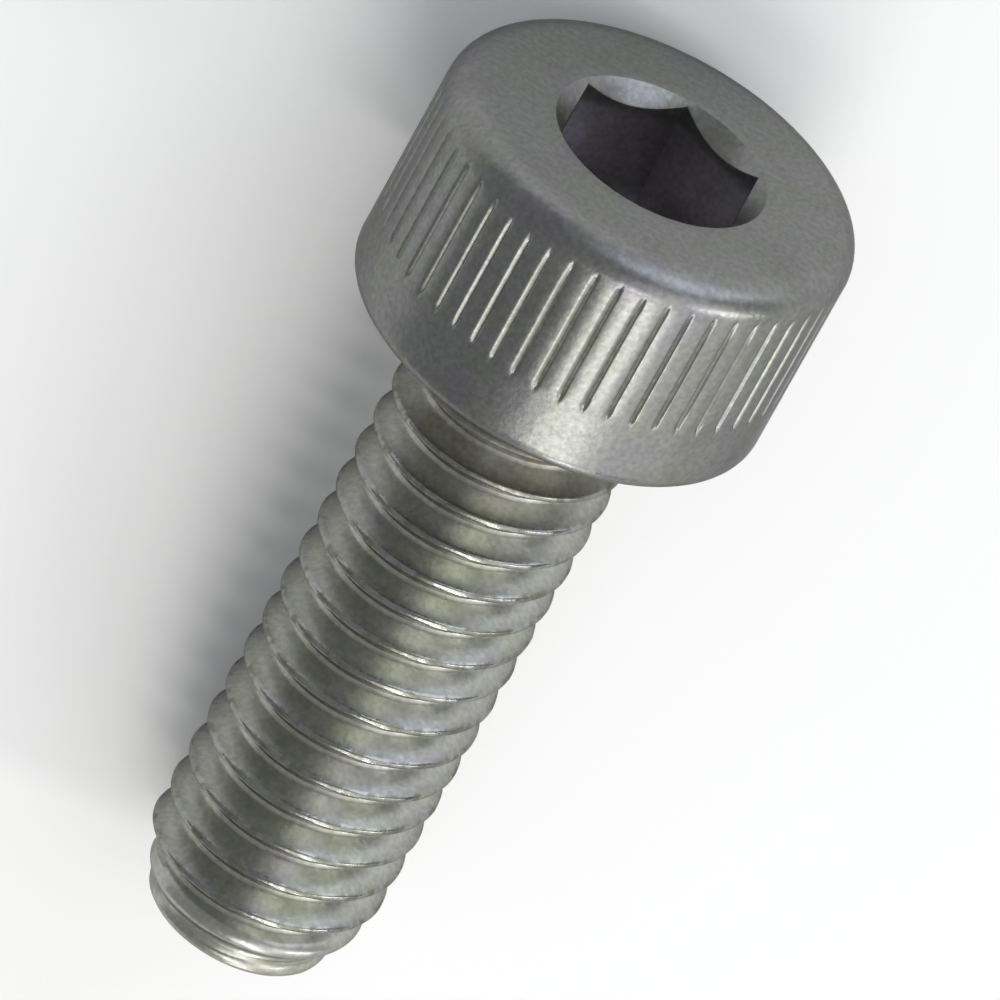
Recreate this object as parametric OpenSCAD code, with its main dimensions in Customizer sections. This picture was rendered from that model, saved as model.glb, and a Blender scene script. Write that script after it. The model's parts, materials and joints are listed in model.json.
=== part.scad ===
// Hex socket head cap screw, M4 x 12, threaded along its whole shank.
// The screw is turned and rolled from one piece, so it is one solid.
// It is shaped upright on its own axis, with the flat top of the head at height 0
// and the tip at the far end, and is then laid down as it comes to rest:
// the lower rim of the head and the last thread crests touch the floor at Z = 0,
// the head points to -Y and the tip to +Y. All sizes are in millimetres.

/* [Head] */
// Diameter of the head over the lands of the knurl
head_d = 7; // [6.6:0.1:8]
// Height of the head
head_h = 4; // [3.6:0.1:5]
// Radius of the rounded top edge
top_round = 0.5; // [0.3:0.05:0.7]
// Radius of the rounded lower edge
under_round = 0.3; // [0.15:0.05:0.45]

/* [Knurl] */
// Number of grooves round the head
knurl_count = 54; // [40:1:60]
// Depth of each groove, whose sides stand at a right angle to each other
knurl_depth = 0.065; // [0.03:0.005:0.09]
// Distance from the top face to the upper end of the grooves
knurl_start = 0.4; // [0.3:0.05:0.8]
// Height of the plain band left between the grooves and the underside of the head
plain_band = 1.2; // [0.8:0.1:1.6]

/* [Hex socket] */
// Width of the socket across its flats
socket_af = 3; // [2.5:0.05:3.3]
// Depth of the six flats below the top face
socket_depth = 2; // [1.5:0.1:2.4]
// Depth of the shallow cone at the bottom of the socket
socket_cone = 0.5; // [0.2:0.05:0.7]
// How far the countersunk rim stands outside the corners of the socket
rim_over = 0.06; // [0.02:0.01:0.15]

/* [Thread] */
// Diameter over the thread crests
thread_d = 3.92; // [3.6:0.02:4]
// Distance from one crest to the next
pitch = 0.7; // [0.6:0.05:0.8]
// Length of the shank under the head
shank_len = 12; // [8:1:16]
// Length of the tapered end
tip_taper = 1.1; // [0.6:0.1:1.5]
// Diameter of the flat end face
tip_d = 3; // [2.4:0.1:3.2]

/* [Neck] */
// Length of the plain neck under the head
neck_len = 0.55; // [0.4:0.05:1]
// Radius of the fillet between the head and the neck
neck_fillet = 0.2; // [0.1:0.05:0.3]
// Length over which the thread runs out into the neck
run_out = 0.5; // [0.3:0.1:1]

/* [Hidden] */
steel = [0.47, 0.47, 0.44];
total_len = head_h + shank_len;
head_r = head_d / 2;
thread_r = thread_d / 2;
tip_r = tip_d / 2;
socket_corner_r = socket_af / 2 / cos(30);

// Metric thread form: 60 degree flanks, a flat crest and a rounded root
flank_half_angle = 30;
crest_flat = pitch / 8;
root_flat = pitch / 4;
flank_depth = (pitch - crest_flat - root_flat) / 2 / tan(flank_half_angle);
root_dip = 0.072 * pitch;
// Each point is [distance from the crest along the axis, depth below the crest]
thread_form = [
    [-crest_flat / 2, 0],
    [crest_flat / 2, 0],
    [(pitch - root_flat) / 2, flank_depth],
    [pitch / 2, flank_depth + root_dip],
    [(pitch + root_flat) / 2, flank_depth],
];
form_points = len(thread_form);
// The plain rod is rolled at the pitch line, halfway down the flanks of the full triangle
rod_r = thread_r - 0.3248 * pitch;
neck_step = 0.03;
neck_r = rod_r + neck_step;
neck_end = head_h + neck_len;

// Turns of thread, and straight steps in each turn
turn_spare = 1.2;
thread_start = head_h - turn_spare * pitch;
turns = (total_len - thread_start) / pitch + turn_spare + 1;
steps_most = 40;
step_budget = 760;
turn_steps = min(steps_most, floor(step_budget / turns));
columns = ceil(turns * turn_steps);
// Angle of the crest that stands one spare turn inside the head
thread_angle = 105;

// Turn of the socket and of the knurl about the axis
socket_angle = 30;
knurl_angle = 2;

// Attitude at rest: the floor touches the lower rim of the head and the last high crest,
// at the crest's edge that is nearer to the head, and the screw has rolled a little
rest_roll = 7.75;
rim_z = head_h - under_round;
rim_r = head_r - under_round;
floor_angle = 90 - rest_roll;
crest_edges = [for (n = [1 : floor(turns)])
    thread_start + pitch * (n + (floor_angle - thread_angle) / 360) - crest_flat / 2];
function taper_r(z) = tip_r + (thread_r - tip_r) * (total_len - z) / tip_taper;
function crest_r(z) = min(thread_r, taper_r(z));
function lean_on(z) = atan((rim_r - crest_r(z)) / (z - rim_z))
    + asin(under_round / norm([z - rim_z, rim_r - crest_r(z)]));
lean = min([for (z = crest_edges) if (z > neck_end + run_out && z < total_len) lean_on(z)]);
rest_height = rim_r * cos(lean) + rim_z * sin(lean) + under_round;
head_reach = (head_r - top_round) * sin(lean) + top_round * (1 - cos(lean));
tip_reach = tip_r * sin(lean) + total_len * cos(lean);
rest_shift = (head_reach - tip_reach) / 2;

// How fully the thread is formed at a height: none in the neck, all past the run-out
function formed(z) = max(0, min(1, (z - neck_end) / run_out));
function form_r(z, depth) = rod_r + formed(z) * (thread_r - depth - rod_r);
function thread_point(step, point) =
    let (angle = thread_angle + 360 * step / turn_steps,
         z = thread_start + pitch * step / turn_steps + point[0],
         r = form_r(z, point[1]))
    [r * cos(angle), r * sin(angle), z];
function corner(step, k) = step * form_points + k;

// Head: a plain disc with a rounded top edge and a rounded lower edge
module head_blank() {
    rotate_extrude($fn = 96) {
        square([head_r - top_round, head_h]);
        translate([0, top_round]) square([head_r, head_h - top_round - under_round]);
        translate([0, top_round]) square([head_r - under_round, head_h - top_round]);
        translate([head_r - top_round, top_round]) circle(r = top_round, $fn = 48);
        translate([head_r - under_round, head_h - under_round]) circle(r = under_round, $fn = 48);
    }
}

// One straight V groove of the knurl, open on the outside
module knurl_groove() {
    groove_end = head_h - plain_band;
    open_r = head_r + knurl_depth;
    translate([0, 0, knurl_start])
        linear_extrude(groove_end - knurl_start)
            polygon([
                [head_r - knurl_depth, 0],
                [open_r, -2 * knurl_depth],
                [open_r, 2 * knurl_depth],
            ]);
}

module knurl() {
    for (n = [0 : knurl_count - 1])
        rotate(knurl_angle + 360 * n / knurl_count) knurl_groove();
}

// Socket: six flats, a countersunk rim and a shallow cone at the bottom
module hex_socket() {
    mouth_r = socket_corner_r + rim_over;
    above = 0.5;
    rotate(socket_angle) {
        translate([0, 0, -above]) cylinder(r = socket_corner_r, h = socket_depth + above, $fn = 6);
        translate([0, 0, socket_depth])
            cylinder(r1 = socket_af / 2, r2 = 0, h = socket_cone, $fn = 60);
        translate([0, 0, -above])
            cylinder(r1 = mouth_r + above, r2 = 0, h = mouth_r + above, $fn = 60);
    }
}

module head() {
    difference() {
        head_blank();
        knurl();
        hex_socket();
    }
}

// Neck: a plain collar that starts inside the head and carries the fillet
module neck() {
    rotate_extrude($fn = 96) {
        translate([0, head_h - neck_fillet]) square([neck_r, neck_len + neck_fillet]);
        difference() {
            translate([0, head_h - neck_fillet]) square([neck_r + neck_fillet, 2 * neck_fillet]);
            translate([neck_r + neck_fillet, head_h + neck_fillet]) circle(r = neck_fillet, $fn = 48);
        }
    }
}

// Rolled rod: the thread form swept along the helix and closed inside the head and past the tip
module rolled_rod() {
    points = [
        for (step = [0 : columns]) for (point = thread_form) thread_point(step, point),
        [0, 0, thread_start],
        [0, 0, thread_start + pitch * columns / turn_steps],
    ];
    near_centre = len(points) - 2;
    far_centre = len(points) - 1;
    form_sides = [for (step = [0 : columns - 1]) for (k = [0 : form_points - 2])
        [corner(step, k), corner(step + 1, k), corner(step + 1, k + 1), corner(step, k + 1)]];
    turn_joins = [for (step = [0 : columns - turn_steps - 1])
        [corner(step, form_points - 1), corner(step + 1, form_points - 1),
         corner(step + 1 + turn_steps, 0), corner(step + turn_steps, 0)]];
    near_edge = concat(
        [for (step = [0 : turn_steps]) corner(step, 0)],
        [for (k = [form_points - 1 : -1 : 1]) corner(0, k)]);
    far_edge = concat(
        [for (k = [0 : form_points - 1]) corner(columns, k)],
        [for (step = [columns - 1 : -1 : columns - turn_steps]) corner(step, form_points - 1)]);
    quads = concat(form_sides, turn_joins);
    side_faces = [for (q = quads) each [[q[0], q[2], q[1]], [q[0], q[3], q[2]]]];
    near_faces = [for (n = [0 : len(near_edge) - 1])
        [near_centre, near_edge[n], near_edge[(n + 1) % len(near_edge)]]];
    far_faces = [for (n = [0 : len(far_edge) - 1])
        [far_centre, far_edge[n], far_edge[(n + 1) % len(far_edge)]]];
    polyhedron(points, concat(side_faces, near_faces, far_faces));
}

// Outline that the rod is cut to: a straight run, the tapered end and the flat end face
module rod_trim() {
    wide_r = thread_r + 0.5;
    taper_slope = tip_taper / (thread_r - tip_r);
    rotate_extrude($fn = 96)
        polygon([
            [0, thread_start - pitch],
            [wide_r, thread_start - pitch],
            [wide_r, total_len - (wide_r - tip_r) * taper_slope],
            [tip_r, total_len],
            [0, total_len],
        ]);
}

module shank() {
    intersection() {
        rolled_rod();
        rod_trim();
    }
}

module cap_screw() {
    color(steel)
        translate([0, rest_shift, rest_height])
            rotate([-90 - lean, 0, 0])
                rotate(rest_roll) {
                    head();
                    neck();
                    shank();
                }
}

cap_screw();
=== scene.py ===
import json
import math

import bmesh
import bpy
from mathutils import Matrix, Vector, noise


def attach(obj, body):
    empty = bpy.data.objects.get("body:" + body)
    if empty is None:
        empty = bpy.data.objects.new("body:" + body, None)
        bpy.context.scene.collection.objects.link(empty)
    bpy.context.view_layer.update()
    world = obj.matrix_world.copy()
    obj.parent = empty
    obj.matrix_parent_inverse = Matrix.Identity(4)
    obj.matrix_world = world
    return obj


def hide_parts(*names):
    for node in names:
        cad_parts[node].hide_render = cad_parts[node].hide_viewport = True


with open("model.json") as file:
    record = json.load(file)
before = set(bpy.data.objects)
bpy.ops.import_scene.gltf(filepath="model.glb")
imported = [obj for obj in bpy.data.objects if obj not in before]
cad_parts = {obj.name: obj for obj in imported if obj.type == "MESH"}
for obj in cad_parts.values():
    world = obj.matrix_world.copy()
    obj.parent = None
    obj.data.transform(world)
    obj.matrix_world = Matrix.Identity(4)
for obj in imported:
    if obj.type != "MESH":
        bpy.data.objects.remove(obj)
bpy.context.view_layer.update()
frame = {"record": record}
scene = bpy.context.scene
mm = 0.001
print("frame loaded")

# The screw is modelled in millimetres, upright on its own axis: height 0 is the flat top
# of the head and the tip is at the far end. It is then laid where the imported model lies.
rest = {
    "roll": 7.75,            # degrees that the screw has rolled about its own axis
    "headHeight": 4.0,
    "totalLength": 16.0,
}
bearing = next(m for m in frame["record"]["mounts"] if m["name"] == "bearing_face")
axisWay = Vector(bearing["axis"]).normalized()
topCentre = Vector(bearing["pos_m"]) - axisWay * rest["headHeight"] * mm
sideWay = Vector((1, 0, 0))
uprightFrame = Matrix((sideWay, axisWay.cross(sideWay), axisWay)).transposed()
screwTurn = uprightFrame @ Matrix.Rotation(math.radians(rest["roll"]), 3, "Z")
screwPlace = Matrix.Translation(topCentre) @ screwTurn.to_4x4() @ Matrix.Scale(mm, 4)


def arcPoints(centreR, centreZ, radius, fromDegrees, toDegrees, steps):
    points = []
    for n in range(steps + 1):
        a = math.radians(fromDegrees + (toDegrees - fromDegrees) * n / steps)
        points.append((centreR + radius * math.cos(a), centreZ + radius * math.sin(a)))
    return points


def smoothStep(value, low, high):
    t = max(0.0, min(1.0, (value - low) / (high - low)))
    return t * t * (3 - 2 * t)


head = {
    "radius": 3.5,
    "topRound": 0.5,         # radius of the top edge next to the side
    "topRollOff": 0.65,      # wider radius where the edge leaves the flat top
    "rollOffTurn": 32.0,     # degrees that the wider radius turns
    "underRound": 0.3,
    "neckRadius": 1.763,
    "neckFillet": 0.2,
    "neckWaist": (0.012, 4.37),          # how much thinner the neck is at its middle, and where
    "neckStep": 0.003,                   # how far the end of the neck stands outside the rod
    "neckEnd": 4.55,
}
knurl = {
    "grooves": 54,
    "columns": 10,           # mesh columns to one groove and its land
    "turn": 2.0,             # degrees, so that every corner of the hex falls on a column
    "depth": 0.05,
    "depthVaries": 0.12,     # share of the depth that differs from groove to groove
    "depthStep": 0.37,       # neighbours are pressed nearly alike
    "wallTurn": 42.0,        # degrees that the flat part of the gentler side leans
    "wallWidth": 0.03,
    "shoulder": 0.09,        # radius that rounds the gentler side over
    "steepSide": 1.2,        # slope of the other side
    "bottomRound": 0.008,
    "top": 0.43,
    "topVaries": 0.03,
    "foot": 2.8,
    "footVaries": 0.02,
    "endStep": 1.7,          # and end at heights of their own
    "endLength": 0.2,
    "crown": 0.011,          # how much the lands are rounded across
    "shoulderPlaces": (0, 0.03, 0.05, 0.072, 0.1),   # mesh columns from the bottom of the groove, in mm
    "steepPlaces": (0, 0.012, 0.026, 0.042, 0.065),
    "gatherTop": (0.05, 0.3),            # heights over which the columns gather at the grooves
    "gatherFoot": (2.9, 3.4),            # and spread evenly again
}
socket = {
    "acrossFlats": 3.0,
    "depth": 2.0,
    "cone": 0.5,
    "rimOver": 0.06,
    "cornerTurn": 30.0,
    "edgeRound": 0.02,
    "edgeSlope": 0.7,        # the countersink leans 45 degrees
    "edgeBulge": (0.2, 0.1),             # how full the rounded edge is, outwards and upwards
}
thread = {
    "radius": 1.96,
    "pitch": 0.7,
    "depth": 0.4294,
    "crestRound": 0.034,
    "rootRound": 0.07,
    "steps": 96,             # steps to one turn
    "runOut": 0.5,
    "crestTurn": 105.0,      # where a crest stands 1.2 turns inside the head
    "spareTurns": 1.2,
    "tipTaper": 1.1,
    "tipRadius": 1.5,
    "tipRelief": 0.4,        # how much of the thread's depth stays on the taper
    "reliefStart": (0.1, 0.02),          # it starts this far under the taper and is full this far over it
    "reliefEnd": (0.4, 0.12),            # and fades out between these distances from the tip
    "endRound": 0.07,
    "endRings": ((0.006, 0.035), (0.028, 0.01), (0.07, 0), (0.2, 0.012)),    # inset and depth
    "endDish": 0.06,
    "wave": 0.007,           # unevenness of the rolled crests
    "waveSize": 0.26,
    "waveDepth": 0.12,       # distance under the crest at which the unevenness ends
}
rodRadius = thread["radius"] - 0.3248 * thread["pitch"]      # the rod before it is rolled

# Rows of the head's mesh, from the bottom of the socket to the neck
rows = {
    "coneRings": 4,
    "wallShares": (1, 0.72, 0.46, 0.24, 0.1),        # of the socket's wall, from its foot to its edge
    "edgeSides": (1, 0.3, -0.3, -1),                 # of the rounded edge, from the wall to the countersink
    "coneShare": 0.55,                               # of the countersink
    "faceShares": (0.2, 0.45, 0.7, 0.88),            # of the flat top
    "grooveHeights": (0.7, 0.95, 1.3, 1.7, 2.1, 2.5),
    "footSteps": (-0.16, -0.11, -0.06, 0, 0.05),     # from the foot of the grooves
    "bandHeights": (3.0, 3.2, 3.45),
    "undersideRadii": (2.9, 2.45),
}
kinds = ["plain", "wall", "edge", "cone"]


def socketRadius(degrees):
    fromFlat = (degrees - socket["cornerTurn"]) % 60 - 30
    return socket["acrossFlats"] / 2 / math.cos(math.radians(fromFlat))


cornerRadius = socketRadius(socket["cornerTurn"])
rimRadius = cornerRadius + socket["rimOver"]


def faceEndRadius():
    # Radius at which the flat top turns into the rounded edge
    extra = head["topRollOff"] - head["topRound"]
    return head["radius"] - head["topRound"] - extra * math.sin(math.radians(head["rollOffTurn"]))


def socketOutline():
    # A wall, edge or cone point holds a share in place of its height, and shapeSocket places it
    flatsRadius = socket["acrossFlats"] / 2
    rounded = socket["edgeRound"]
    rings = rows["coneRings"]
    points = []
    for n in range(rings + 1):
        points.append((flatsRadius * n / rings, socket["depth"] + socket["cone"] * (1 - n / rings), "plain"))
    points += [(cornerRadius, share, "wall") for share in rows["wallShares"]]
    points += [(cornerRadius, side * rounded, "edge") for side in rows["edgeSides"]]
    points += [(cornerRadius, rows["coneShare"], "cone")]
    points += arcPoints(rimRadius + rounded, rounded, rounded, -135, -90, 2)
    return points


def topOutline():
    turn = head["rollOffTurn"]
    rollOff = head["topRollOff"]
    topRound = head["topRound"]
    sideEnd = topRound + (rollOff - topRound) * (1 - math.cos(math.radians(turn)))
    faceEnd = faceEndRadius()
    points = [(rimRadius + share * (faceEnd - rimRadius), 0) for share in rows["faceShares"]]
    points += arcPoints(faceEnd, rollOff, rollOff, -90, turn - 90, 7)
    points += arcPoints(head["radius"] - topRound, sideEnd, topRound, turn - 90, 0, 9)[1:]
    return points


def sideOutline():
    footHeights = [knurl["foot"] + step for step in rows["footSteps"]]
    heights = [*rows["grooveHeights"], *footHeights, *rows["bandHeights"]]
    return [(head["radius"], height) for height in heights]


def undersideOutline():
    underRound = head["underRound"]
    headHeight = rest["headHeight"]
    fillet = head["neckFillet"]
    neckRadius = head["neckRadius"]
    thinner, waistHeight = head["neckWaist"]
    points = arcPoints(head["radius"] - underRound, headHeight - underRound, underRound, 0, 90, 7)
    points += [(radius, headHeight) for radius in rows["undersideRadii"]]
    points += arcPoints(neckRadius + fillet, headHeight + fillet, fillet, -90, -180, 5)
    points += [(neckRadius - thinner, waistHeight), (rodRadius + head["neckStep"], head["neckEnd"])]
    return points


def headOutline():
    # Each point is (radius, height, kind), from the bottom of the socket to the end of the neck
    points = socketOutline() + topOutline() + sideOutline() + undersideOutline()
    return [p if len(p) == 3 else (*p, "plain") for p in points]


def grooveDepth(across):
    # The rollers leave one side rounded over and the other one steep
    depth = knurl["depth"]
    if across > 0:
        lean = math.radians(knurl["wallTurn"])
        if across < knurl["wallWidth"]:
            return depth - across * math.tan(lean)
        shoulder = knurl["shoulder"]
        fromEdge = max(0.0, knurl["wallWidth"] + shoulder * math.sin(lean) - across)
        return shoulder - math.sqrt(shoulder * shoulder - fromEdge * fromEdge)
    below = depth + across * knurl["steepSide"]
    return (below + math.hypot(below, knurl["bottomRound"])) / 2


def grooveNoise(groove, step, row):
    # One number for a whole groove: a longer step makes neighbours differ more
    return noise.noise(Vector((groove * step, row, 0)))


def shapeSocket(vert, degrees, kind):
    wallRadius = socketRadius(degrees)
    meets = rimRadius - wallRadius        # depth at which the countersink meets the flat
    rounded = socket["edgeRound"]
    share = vert.co.z
    if kind == "wall":
        radius = wallRadius
        height = meets + rounded + (socket["depth"] - meets - rounded) * share
    elif kind == "edge":
        # Rounds the edge where the flat meets the countersink
        slope = socket["edgeSlope"]
        bulgeOut, bulgeUp = socket["edgeBulge"]
        fromEnd = rounded - abs(share)
        radius = wallRadius + max(0.0, -share) * slope + fromEnd * bulgeOut
        height = meets + (share if share > 0 else share * slope) - fromEnd * bulgeUp
    else:
        radius = wallRadius + (rimRadius - wallRadius) * share
        height = rimRadius - radius
    a = math.radians(degrees)
    vert.co = (radius * math.cos(a), radius * math.sin(a), height)


def shapeKnurl(vert, column, radius, height):
    period = 360 / knurl["grooves"]
    perGroove = knurl["columns"]
    landMiddle = math.radians(period / 2) * head["radius"]
    place = column % perGroove
    if place > perGroove // 2:
        place -= perGroove               # on the steep side of the next groove
    if place == perGroove // 2:
        across = landMiddle
    elif place >= 0:
        across = knurl["shoulderPlaces"][place]
    else:
        across = -knurl["steepPlaces"][-place]

    even = place * period / perGroove
    gathered = math.degrees(across / head["radius"])
    near = smoothStep(height, *knurl["gatherTop"]) * (1 - smoothStep(height, *knurl["gatherFoot"]))
    degrees = knurl["turn"] + (column - place) * period / perGroove + even + (gathered - even) * near

    groove = round((degrees - knurl["turn"]) / period)
    top = knurl["top"] + knurl["topVaries"] * grooveNoise(groove, knurl["endStep"], 0.3)
    foot = knurl["foot"] + knurl["footVaries"] * grooveNoise(groove, knurl["endStep"], 5.3)
    pressed = 1 + knurl["depthVaries"] * grooveNoise(groove, knurl["depthStep"], 9.1)
    full = smoothStep(height, top, top + knurl["endLength"])
    full *= 1 - smoothStep(height, foot - knurl["endLength"], foot)
    crown = knurl["crown"] * (across / landMiddle - math.copysign(1, across)) ** 2
    radius -= (grooveDepth(across) * pressed + crown) * full
    a = math.radians(degrees)
    vert.co = (radius * math.cos(a), radius * math.sin(a), height)


def makeHead():
    shape = bmesh.new()
    kindLayer = shape.verts.layers.int.new("kind")
    outline = []
    start = Matrix.Rotation(math.radians(knurl["turn"]), 3, "Z")
    for radius, height, kind in headOutline():
        vert = shape.verts.new(start @ Vector((radius, 0, height)))
        vert[kindLayer] = kinds.index(kind)
        outline.append(vert)
    edges = [shape.edges.new(pair) for pair in zip(outline, outline[1:])]
    columns = knurl["grooves"] * knurl["columns"]
    bmesh.ops.spin(shape, geom=outline + edges, cent=(0, 0, 0), axis=(0, 0, 1), angle=2 * math.pi,
                   steps=columns, use_merge=True)
    nearAxis = 0.01
    knurlFoot = knurl["gatherFoot"][1]
    for vert in shape.verts:
        radius = math.hypot(vert.co.x, vert.co.y)
        kind = kinds[vert[kindLayer]]
        if radius < nearAxis:
            continue
        degrees = math.degrees(math.atan2(vert.co.y, vert.co.x))
        column = round((degrees - knurl["turn"]) * columns / 360) % columns
        if kind != "plain":
            shapeSocket(vert, knurl["turn"] + column * 360 / columns, kind)
        elif radius > faceEndRadius() and vert.co.z < knurlFoot:
            shapeKnurl(vert, column, radius, vert.co.z)
    bmesh.ops.remove_doubles(shape, verts=shape.verts, dist=0.0005)
    return shape


def threadDepth(fromCrest):
    # 60 degree flanks between a rounded crest and a rounded root
    crestFlat = thread["pitch"] / 8
    flank = (abs(fromCrest) - crestFlat / 2) * math.sqrt(3)
    crest = thread["crestRound"]
    root = thread["rootRound"]
    eased = (flank + math.sqrt(flank * flank + crest * crest)) / 2
    short = eased - thread["depth"]
    return thread["depth"] + (short - math.sqrt(short * short + root * root)) / 2


def shapeThread(vert):
    # Lets the thread run out into the neck, roughens its crests and tapers its end
    total = rest["totalLength"]
    radius = math.hypot(vert.co.x, vert.co.y)
    along = vert.co.z
    formed = max(0.0, min(1.0, (along - head["neckEnd"]) / thread["runOut"]))
    onCrest = smoothStep(radius, thread["radius"] - thread["waveDepth"], thread["radius"])
    uneven = thread["wave"] * onCrest * noise.noise(Vector((vert.co.x, vert.co.y, along)) / thread["waveSize"])
    newRadius = rodRadius + formed * (radius + uneven - rodRadius)

    slope = (thread["radius"] - thread["tipRadius"]) / thread["tipTaper"]
    taper = thread["tipRadius"] + slope * (total - along)
    under, over = thread["reliefStart"]
    if newRadius > taper - under:
        fadeFrom, fadeTo = thread["reliefEnd"]
        onTaper = smoothStep(newRadius, taper - under, taper + over)
        onTaper *= 1 - smoothStep(along, total - fadeFrom, total - fadeTo)
        relief = thread["tipRelief"] * onTaper * max(0.0, thread["radius"] - newRadius)
        newRadius = min(newRadius, taper) - relief
    vert.co.x *= newRadius / radius
    vert.co.y *= newRadius / radius


def cutThread(shape, height, **side):
    everything = shape.verts[:] + shape.edges[:] + shape.faces[:]
    bmesh.ops.bisect_plane(shape, geom=everything, dist=1e-5, plane_co=(0, 0, height), plane_no=(0, 0, 1),
                           **side)


def makeThread():
    shape = bmesh.new()
    pitch = thread["pitch"]
    startHeight = rest["headHeight"] - thread["spareTurns"] * pitch
    startTurn = Matrix.Rotation(math.radians(thread["crestTurn"]), 3, "Z")
    # Points from the crest to the root, in shares of the pitch
    shares = (0, 0.035, 0.052, 0.062, 0.072, 0.088, 0.12, 0.2, 0.3, 0.36, 0.39, 0.425, 0.5)
    fromCrest = [share * pitch for share in shares]
    places = [-u for u in reversed(fromCrest[1:])] + fromCrest
    outline = []
    for u in places:
        point = Vector((thread["radius"] - threadDepth(u), 0, startHeight + u))
        outline.append(shape.verts.new(startTurn @ point))
    edges = [shape.edges.new(pair) for pair in zip(outline, outline[1:])]
    # One turn is spun, and its copies stand a pitch apart and are merged
    bmesh.ops.spin(shape, geom=outline + edges, cent=(0, 0, 0), axis=(0, 0, 1),
                   dvec=(0, 0, pitch / thread["steps"]), angle=2 * math.pi, steps=thread["steps"])
    oneTurn = shape.verts[:] + shape.edges[:] + shape.faces[:]
    for turn in range(1, math.ceil((rest["totalLength"] - startHeight) / pitch) + 1):
        made = bmesh.ops.duplicate(shape, geom=oneTurn)["geom"]
        copied = [g for g in made if isinstance(g, bmesh.types.BMVert)]
        bmesh.ops.translate(shape, verts=copied, vec=(0, 0, pitch * turn))
    bmesh.ops.remove_doubles(shape, verts=shape.verts, dist=0.004)
    for vert in shape.verts:
        shapeThread(vert)
    cutThread(shape, head["neckEnd"], clear_inner=True)
    cutThread(shape, rest["totalLength"] - thread["endRound"], clear_outer=True)
    return shape


def openEdges(shape, height):
    return [e for e in shape.edges
            if e.is_boundary and all(abs(v.co.z - height) < 0.001 for v in e.verts)]


def closeTip(shape):
    # Rounds the end of the taper and closes it with a slightly hollow face
    total = rest["totalLength"]
    dish = thread["endDish"]
    radius = thread["tipRadius"]
    ring = openEdges(shape, total - thread["endRound"])
    rings = [(radius - inset, depth) for inset, depth in thread["endRings"]]
    rings += [(radius * 0.66, dish * 2 / 3), (radius * 0.33, dish)]
    for ringRadius, ringDepth in rings:
        made = bmesh.ops.extrude_edge_only(shape, edges=ring)["geom"]
        ring = [g for g in made if isinstance(g, bmesh.types.BMEdge)]
        for vert in {v for e in ring for v in e.verts}:
            a = math.atan2(vert.co.y, vert.co.x)
            vert.co = (ringRadius * math.cos(a), ringRadius * math.sin(a), total - ringDepth)
    made = bmesh.ops.extrude_edge_only(shape, edges=ring)["geom"]
    middle = [g for g in made if isinstance(g, bmesh.types.BMVert)]
    bmesh.ops.pointmerge(shape, verts=middle, merge_co=(0, 0, total - dish))


def makeScrew():
    threadShape = makeThread()
    closeTip(threadShape)
    threadMesh = bpy.data.meshes.new("threadPart")
    threadShape.to_mesh(threadMesh)
    threadShape.free()
    shape = makeHead()
    shape.from_mesh(threadMesh)
    bpy.data.meshes.remove(threadMesh)
    ends = openEdges(shape, head["neckEnd"])
    bmesh.ops.triangle_fill(shape, use_beauty=True, edges=ends, normal=(0, 0, 1))
    bmesh.ops.recalc_face_normals(shape, faces=shape.faces)
    sharp = math.radians(34)
    for edge in shape.edges:
        edge.smooth = not (edge.is_manifold and edge.calc_face_angle(0) > sharp)
    for face in shape.faces:
        face.smooth = True
    loose = [e for e in shape.edges if not e.is_manifold]
    print("screw: faces", len(shape.faces), "open edges", len(loose), "volume", shape.calc_volume())
    mesh = bpy.data.meshes.new("screwBody")
    shape.to_mesh(mesh)
    shape.free()
    mesh.transform(screwPlace)
    screw = bpy.data.objects.new("screwBody", mesh)
    scene.collection.objects.link(screw)
    return screw


screwBody = makeScrew()
print("screw modelled")

# Sizes and depths are in millimetres. A span says between which values of its noise a finish comes in.
steel = {
    "headColour": (0.232, 0.234, 0.23, 1),
    # Painted light: the flank, groove and socket colours are brighter than the head's to make up for light
    # lost between their faces
    "flankPaintedBright": (0.425, 0.43, 0.4, 1),
    "brighteningAtCrest": 0.35,    # how much of the flank's colour the crests have
    "groovePaintedBright": (0.4, 0.4, 0.375, 1),
    "socketPaintedBright": (0.39, 0.375, 0.41, 1),
    "edgeColour": (0.5, 0.5, 0.5, 1),            # seen where the metal turns away
    "oliveCast": (0.965, 0.985, 0.91, 1),        # the casts multiply the colours above
    "oliveSpan": (0.42, 0.62),
    "purpleCast": (0.955, 0.93, 1, 1),
    "purpleSpan": (0.5, 0.66),
    "castSize": 0.9,
    "mottle": 0.12,
    "mottleSpan": (0.3, 0.7),
    "mottleSize": 0.1,
    "dirtAndShadeTint": (0.64, 0.56, 0.42, 1),              # painted shade with brown dirt, multiplies as well
    "dirtAndShadeShare": 0.7,
    "dirtAndShadeSpan": (0.34, 0.6),
    "dirtAndShadeSize": 0.5,
    "rootDirtAndShade": 0.4,        # how much of the painted shade and dirt the roots have
    "crestTarnish": (0.68, 0.66, 0.6, 1),        # multiplies the crests between the burnished stretches
    "burnishSpan": (0.38, 0.54),
    "burnishSize": 0.26,
    "roughness": 0.33,
    "crestRoughness": 0.14,
    "grainRoughness": 0.25,
    "dirtRoughness": 0.25,
    "grooveRoughness": 0.15,
    "grainSize": 0.075,
    "grainDepth": 0.0035,
    "dentSize": 0.35,
    "dentDepth": 0.006,
}
# Where each finish comes in or goes out: heights below the top of the head and distances from the axis
zones = {
    "threadHeight": (4.6, 5.1),
    "crestRadius": (1.88, 1.94),
    "flankRadius": (1.72, 1.95),
    "rootRadius": (1.54, 1.6),
    "grooveOutside": (3.455, 3.49),
    "grooveInside": (3.38, 3.42),
    "grooveTop": (0.5, 0.6),
    "grooveFoot": (2.75, 2.9),
    "socketTop": (0.29, 0.5),
    "socketRadius": (1.74, 1.78),
    "socketFoot": (3.4, 3.5),
    "neckTop": (3.75, 4.1),
    "neckFoot": (4.5, 6.4),
}


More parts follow.
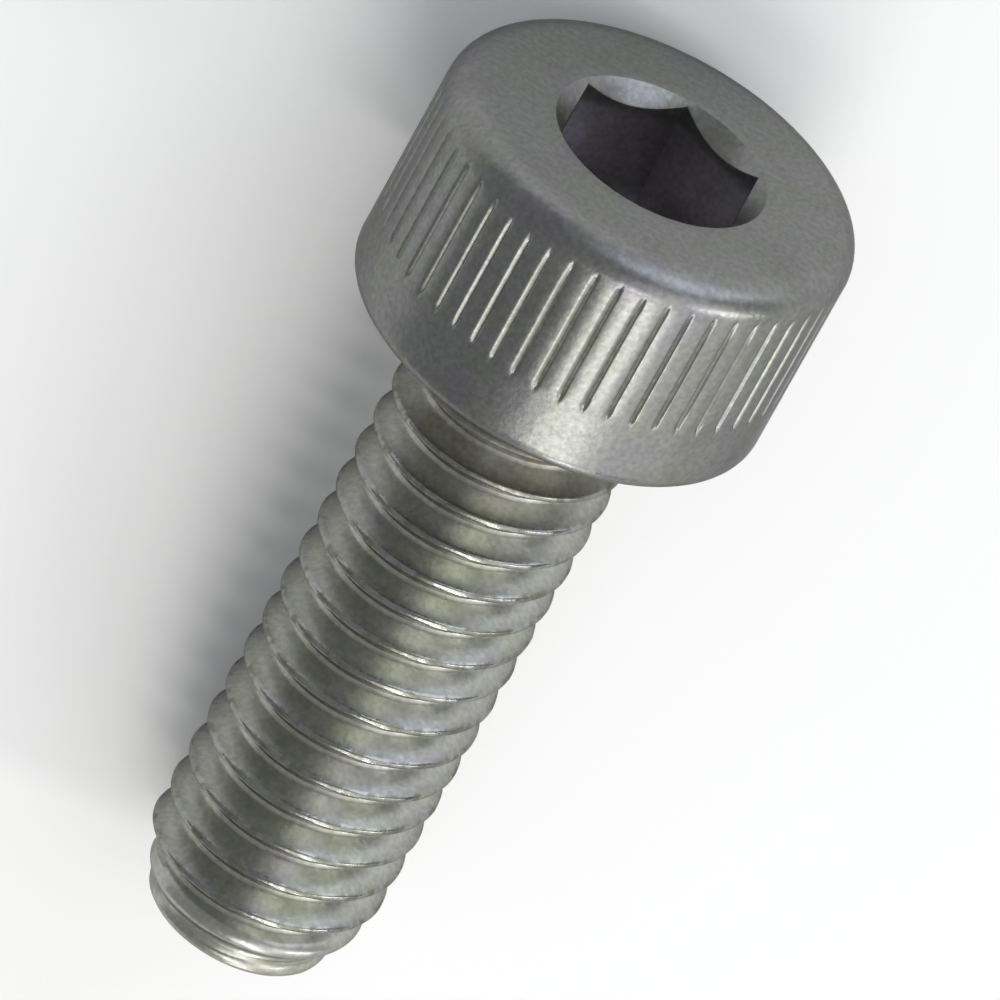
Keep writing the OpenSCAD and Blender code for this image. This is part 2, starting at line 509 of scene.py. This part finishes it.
def putValue(tree, inlet, value):
    if isinstance(value, bpy.types.NodeSocket):
        tree.links.new(value, inlet)
    else:
        inlet.default_value = value


def calculate(tree, operation, *values):
    node = tree.nodes.new("ShaderNodeMath")
    node.operation = operation
    for inlet, value in zip(node.inputs, values):
        putValue(tree, inlet, value)
    return node.outputs[0]


def add(tree, first, second):
    return calculate(tree, "ADD", first, second)


def multiply(tree, first, *others):
    for other in others:
        first = calculate(tree, "MULTIPLY", first, other)
    return first


def ramp(tree, value, span, start=0.0, end=1.0):
    # Goes smoothly from start to end while the value goes through the span
    node = tree.nodes.new("ShaderNodeMapRange")
    node.interpolation_type = "SMOOTHSTEP"
    low, high = span
    for name, given in (("Value", value), ("From Min", low), ("From Max", high),
                        ("To Min", start), ("To Max", end)):
        putValue(tree, node.inputs[name], given)
    return node.outputs["Result"]


def rises(tree, value, zone):
    return ramp(tree, value, zones[zone])


def falls(tree, value, zone):
    return ramp(tree, value, zones[zone], 1, 0)


def cloud(tree, place, size, detail, seed):
    node = tree.nodes.new("ShaderNodeTexNoise")
    node.noise_dimensions = "4D"
    node.inputs["W"].default_value = seed
    node.inputs["Scale"].default_value = 1 / size
    node.inputs["Detail"].default_value = detail
    putValue(tree, node.inputs["Vector"], place)
    return node.outputs["Fac"]


def blend(tree, share, first, second, way="MIX"):
    node = tree.nodes.new("ShaderNodeMix")
    node.data_type = "RGBA"
    node.blend_type = way
    putValue(tree, node.inputs[0], share)        # the share and both colours have these places in the list
    putValue(tree, node.inputs[6], first)
    putValue(tree, node.inputs[7], second)
    return node.outputs[2]


def greyOf(tree, value):
    node = tree.nodes.new("ShaderNodeCombineColor")
    for inlet in node.inputs:
        putValue(tree, inlet, value)
    return node.outputs[0]


def screwSpace(tree):
    # Turns the object's own coordinates into the screw's: millimetres, upright, top at height 0
    coordinates = tree.nodes.new("ShaderNodeTexCoord")
    mapping = tree.nodes.new("ShaderNodeMapping")
    upright = screwTurn.transposed()
    mapping.inputs["Scale"].default_value = (1 / mm, 1 / mm, 1 / mm)
    mapping.inputs["Rotation"].default_value = upright.to_euler("XYZ")
    mapping.inputs["Location"].default_value = -(upright @ topCentre) / mm
    tree.links.new(coordinates.outputs["Object"], mapping.inputs["Vector"])
    return mapping.outputs["Vector"]


def steelFinish():
    material = bpy.data.materials.new("steel")
    material.use_nodes = True
    tree = material.node_tree
    shader = tree.nodes["Principled BSDF"]
    shader.inputs["Metallic"].default_value = 1
    shader.inputs["Specular Tint"].default_value = steel["edgeColour"]
    place = screwSpace(tree)
    split = tree.nodes.new("ShaderNodeSeparateXYZ")
    tree.links.new(place, split.inputs[0])
    across, deep, height = split.outputs
    radius = calculate(tree, "SQRT", add(tree, multiply(tree, across, across), multiply(tree, deep, deep)))

    # Painted light: flanks, grooves and the socket lose light in reflecting each other, so their colour is
    # painted brighter than the head's to make up for it, and the crests keep less of that brightening
    onThread = rises(tree, height, "threadHeight")
    crest = multiply(tree, rises(tree, radius, "crestRadius"), onThread)
    flank = multiply(tree, onThread, ramp(tree, radius, zones["flankRadius"], 1, steel["brighteningAtCrest"]))
    colour = blend(tree, flank, steel["headColour"], steel["flankPaintedBright"])
    groove = multiply(tree, falls(tree, radius, "grooveOutside"), rises(tree, radius, "grooveInside"),
                      rises(tree, height, "grooveTop"), falls(tree, height, "grooveFoot"))
    colour = blend(tree, groove, colour, steel["groovePaintedBright"])
    inSocket = multiply(tree, rises(tree, height, "socketTop"), falls(tree, radius, "socketRadius"),
                        falls(tree, height, "socketFoot"))
    colour = blend(tree, inSocket, colour, steel["socketPaintedBright"])

    # The rolling dies burnish the crests here and there and leave dull stretches between
    burnish = ramp(tree, cloud(tree, place, steel["burnishSize"], 2, 9.0), steel["burnishSpan"])
    dull = multiply(tree, crest, calculate(tree, "SUBTRACT", 1, burnish))
    colour = blend(tree, dull, colour, steel["crestTarnish"], "MULTIPLY")

    # Colour casts in large soft patches
    olive = ramp(tree, cloud(tree, place, steel["castSize"], 3, 1.0), steel["oliveSpan"])
    colour = blend(tree, olive, colour, steel["oliveCast"], "MULTIPLY")
    purple = ramp(tree, cloud(tree, place, steel["castSize"], 3, 7.0), steel["purpleSpan"])
    colour = blend(tree, purple, colour, steel["purpleCast"], "MULTIPLY")

    # Painted shade with brown dirt: the corner under the head and the thread roots are darkened in patches
    neck = multiply(tree, rises(tree, height, "neckTop"), falls(tree, height, "neckFoot"))
    root = multiply(tree, falls(tree, radius, "rootRadius"), steel["rootDirtAndShade"])
    patch = ramp(tree, cloud(tree, place, steel["dirtAndShadeSize"], 4, 3.0), steel["dirtAndShadeSpan"])
    dirtAndShade = multiply(tree, calculate(tree, "MAXIMUM", neck, root), patch, steel["dirtAndShadeShare"])
    colour = blend(tree, dirtAndShade, colour, steel["dirtAndShadeTint"], "MULTIPLY")
    mottle = ramp(tree, cloud(tree, place, steel["mottleSize"], 3, 2.0), steel["mottleSpan"],
                  1 - steel["mottle"], 1 + steel["mottle"])
    colour = blend(tree, 1.0, colour, greyOf(tree, mottle), "MULTIPLY")
    tree.links.new(colour, shader.inputs["Base Color"])

    grain = cloud(tree, place, steel["grainSize"], 3, 0.0)
    uneven = multiply(tree, calculate(tree, "SUBTRACT", grain, 0.5), steel["grainRoughness"])
    dirtyPlaces = multiply(tree, calculate(tree, "MAXIMUM", neck, dirtAndShade), steel["dirtRoughness"])
    rough = add(tree, add(tree, steel["roughness"], uneven), dirtyPlaces)
    rough = add(tree, rough, multiply(tree, groove, steel["grooveRoughness"]))
    smoother = multiply(tree, crest, burnish, steel["roughness"] - steel["crestRoughness"])
    rough = calculate(tree, "SUBTRACT", rough, smoother)
    tree.links.new(rough, shader.inputs["Roughness"])

    dents = cloud(tree, place, steel["dentSize"], 2, 5.0)
    relief = add(tree, multiply(tree, grain, steel["grainDepth"]), multiply(tree, dents, steel["dentDepth"]))
    bump = tree.nodes.new("ShaderNodeBump")
    bump.inputs["Distance"].default_value = mm
    bump.inputs["Strength"].default_value = 1
    tree.links.new(relief, bump.inputs["Height"])
    tree.links.new(bump.outputs["Normal"], shader.inputs["Normal"])
    return material


screwBody.data.materials.append(steelFinish())
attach(screwBody, "root")
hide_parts("cap_screw")
print("screw finished")

camera = {
    "lens": 698.4,
    "sensor": 36.0,
    "distance": 300.0,                       # mm from the lens to the middle of the head's top
    "clip": (0.01, 10),
    "pictureWidth": 1000,
    "topCentrePixel": (661.755, 151.496),
    "axisTurn": 29.278,                      # degrees that the axis leans from upright in the picture
    "axisTilt": 59.03,                       # degrees between the line of sight and the axis
}


def pictureAxes():
    # Turns a direction in the picture (right, down, away) into one in the room
    turn = math.radians(camera["axisTurn"])
    tilt = math.radians(camera["axisTilt"])
    across, away = math.sin(tilt), math.cos(tilt)
    axisSeen = Vector((-math.sin(turn) * across, math.cos(turn) * across, away))
    rightSeen = Vector((math.cos(turn), math.sin(turn), 0))
    nearSeen = axisSeen.cross(rightSeen)
    seen = Matrix((axisSeen, rightSeen, nearSeen))
    laid = Matrix((screwTurn @ Vector((0, 0, 1)), screwTurn @ Vector((-1, 0, 0)),
                   screwTurn @ Vector((0, -1, 0)))).transposed()
    return laid @ seen


def makeCamera():
    picture = pictureAxes()
    data = bpy.data.cameras.new("camera")
    data.lens = camera["lens"]
    data.sensor_width = camera["sensor"]
    data.clip_start, data.clip_end = camera["clip"]
    eye = bpy.data.objects.new("camera", data)
    scene.collection.objects.link(eye)
    pixelsPerMm = camera["lens"] / camera["sensor"] * camera["pictureWidth"]
    across, down = camera["topCentrePixel"]
    middle = camera["pictureWidth"] / 2
    ray = Vector(((across - middle) / pixelsPerMm, (down - middle) / pixelsPerMm, 1))
    eye.location = topCentre - picture @ (ray * camera["distance"] * mm)
    facing = picture @ Matrix.Diagonal((1, -1, -1))
    eye.rotation_mode = "QUATERNION"
    eye.rotation_quaternion = facing.to_quaternion()
    scene.camera = eye


makeCamera()
print("camera placed")

room = {
    "floorSize": 2.0,
    "floorColour": (0.95, 0.95, 0.95, 1),
    "floorRoughness": 0.9,
    "worldColour": (0.36, 0.365, 0.375, 1),
    "lampDistance": 0.35,
    "wattsForBrightness": 4,                 # for each square metre of a lamp
}


def makeFloor():
    shape = bmesh.new()
    bmesh.ops.create_grid(shape, x_segments=1, y_segments=1, size=room["floorSize"] / 2)
    mesh = bpy.data.meshes.new("floor")
    shape.to_mesh(mesh)
    shape.free()
    floor = bpy.data.objects.new("floor", mesh)
    scene.collection.objects.link(floor)
    material = bpy.data.materials.new("floorPaper")
    material.use_nodes = True
    shader = material.node_tree.nodes["Principled BSDF"]
    shader.inputs["Base Color"].default_value = room["floorColour"]
    shader.inputs["Roughness"].default_value = room["floorRoughness"]
    shader.inputs["Specular IOR Level"].default_value = 0
    mesh.materials.append(material)


def makeWorld():
    world = bpy.data.worlds.new("world")
    world.use_nodes = True
    sky = world.node_tree.nodes["Background"]
    sky.inputs["Color"].default_value = room["worldColour"]
    sky.inputs["Strength"].default_value = 1
    scene.world = world


# Each softbox stands in a direction from the screw: "around" turns about the screw's axis, from the
# side that faces the lens towards the picture's right, and "along" leans from there to the tip, both
# in degrees. Its width and height are in degrees as well, as seen from the screw, and its brightness
# is what a mirror would show.
lamps = {
    "key": {"around": 26, "along": 34, "width": 22, "height": 20, "brightness": 2.95,
            "colour": (1, 0.985, 0.93)},
    "panel": {"around": 46, "along": 27, "width": 74, "height": 40, "brightness": 0.8,
              "colour": (1, 0.995, 0.945)},
    "overhead": {"around": 46, "along": -14, "width": 50, "height": 36, "brightness": 0.8,
                 "colour": (1, 1, 1)},
    "high": {"around": 22, "along": 7, "width": 22, "height": 7, "brightness": 5.2,
             "colour": (1, 1, 0.98)},
    "low": {"around": 48, "along": 60, "width": 9, "height": 12, "brightness": 11.0,
            "colour": (1, 1, 0.98)},
    "side": {"around": 68, "along": -2, "width": 26, "height": 6, "brightness": 9.0,
             "colour": (1, 1, 0.98)},
    "fill": {"around": 82, "along": -64, "width": 50, "height": 38, "brightness": 1.4,
             "colour": (0.85, 0.91, 1)},
}


def makeLamp(name, lamp):
    distance = room["lampDistance"]
    around = math.radians(lamp["around"])
    along = math.radians(lamp["along"])
    nearWay, rightWay = screwTurn @ Vector((0, -1, 0)), screwTurn @ Vector((-1, 0, 0))
    outWay = nearWay * math.cos(around) + rightWay * math.sin(around)
    widthWay = rightWay * math.cos(around) - nearWay * math.sin(around)
    way = outWay * math.cos(along) + axisWay * math.sin(along)
    heightWay = way.cross(widthWay)
    data = bpy.data.lights.new(name, "AREA")
    data.shape = "RECTANGLE"
    data.size = 2 * distance * math.tan(math.radians(lamp["width"] / 2))
    data.size_y = 2 * distance * math.tan(math.radians(lamp["height"] / 2))
    data.color = lamp["colour"]
    data.energy = lamp["brightness"] * room["wattsForBrightness"] * data.size * data.size_y
    lampObject = bpy.data.objects.new(name, data)
    lampObject.location = way * distance
    lampObject.rotation_mode = "QUATERNION"
    lampObject.rotation_quaternion = Matrix((widthWay, heightWay, way)).transposed().to_quaternion()
    scene.collection.objects.link(lampObject)


makeFloor()
makeWorld()
for lampName, lampValues in lamps.items():
    makeLamp(lampName, lampValues)
scene.view_settings.view_transform = "Standard"
print("floor and light placed")
